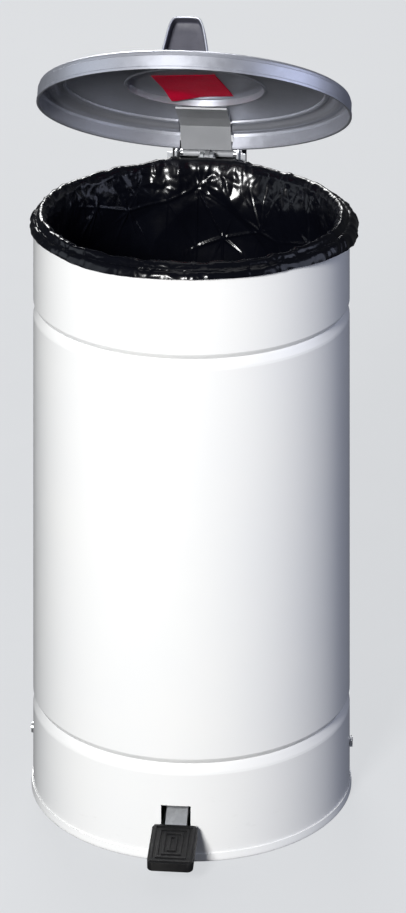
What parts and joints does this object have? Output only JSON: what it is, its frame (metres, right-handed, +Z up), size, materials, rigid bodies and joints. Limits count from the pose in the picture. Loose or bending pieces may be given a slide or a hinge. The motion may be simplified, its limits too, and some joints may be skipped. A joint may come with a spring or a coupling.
{
  "type": "pedal trash can",
  "caption": "Round enamelled steel waste bin with a bag-lined drum and a silver hinged lid, lifted by a front foot pedal through a cross axle and a push rod at the back.",
  "frame": {"origin": "centre of the base plate's underside, on the drum's axis, at floor level", "axes": "+Z up along the drum's axis, -Y to the front where the pedal is, +X to the right as seen from the front"},
  "size_m": [0.4074, 0.5293, 0.984],
  "materials": {
    "white_enamel": "gloss",
    "silver_plastic": "satin",
    "galvanised_steel": "satin",
    "grey_steel": "satin",
    "grip_grey": "satin",
    "bright_steel": "polished",
    "black_plastic": "matte",
    "black_film": "gloss",
    "black_rubber": "matte",
    "red_label": "matte"
  },
  "bodies": {
    "drum": {"body_shell": "white_enamel", "base_plate": "white_enamel", "floor_deck": "galvanised_steel", "rim_collar": "black_plastic", "bin_bag": "black_film", "hinge_bracket": "galvanised_steel", "hinge_cover": "black_plastic", "hinge_pin": "bright_steel", "hinge_clips": "bright_steel", "hinge_washers": "bright_steel", "lid_stop_buffer": "black_rubber", "rod_guard": "white_enamel", "rod_guide_lower": "black_plastic", "rod_guide_upper": "black_plastic", "bracket_rivets": "bright_steel", "guard_screws": "bright_steel", "pedal_axle": "bright_steel", "axle_caps": "bright_steel", "axle_spacer_left": "galvanised_steel", "axle_spacer_right": "galvanised_steel"},
    "pedal": {"pedal_lever": "galvanised_steel", "lever_hub": "galvanised_steel", "pedal_pad": "black_rubber", "pad_rivets": "bright_steel"},
    "rod": {"push_rod": "bright_steel", "rod_foot": "galvanised_steel", "rod_fork": "galvanised_steel", "rod_lower_pin": "bright_steel", "rod_upper_pin": "bright_steel", "rod_pin_clips": "bright_steel"},
    "lid": {"lid_shell": "silver_plastic", "lid_hinge_strap": "grey_steel", "grip_screws": "bright_steel", "lid_grip": "grip_grey", "lid_label": "red_label"}
  },
  "joints": [
    {"name": "lid_hinge", "type": "hinge", "parent": "drum", "child": "lid", "pos_m": [0, 0.234, 0.7175], "axis": [-1, 0, 0], "range_deg": [-31.2, 35]},
    {"name": "pedal_pivot", "type": "hinge", "parent": "drum", "child": "pedal", "pos_m": [0, 0, 0.057], "axis": [1, 0, 0], "range_deg": [-3.7, 4.15]},
    {"name": "rod_slide", "type": "slide", "parent": "drum", "child": "rod", "axis": [0, 0, 1], "range_m": [-0.01355, 0.0152]}
  ],
  "couplings": [
    {"joint": "pedal_pivot", "follows": "lid_hinge", "ratio": 0.11754},
    {"joint": "rod_slide", "follows": "lid_hinge", "m_per_rad": 0.0248}
  ]
}
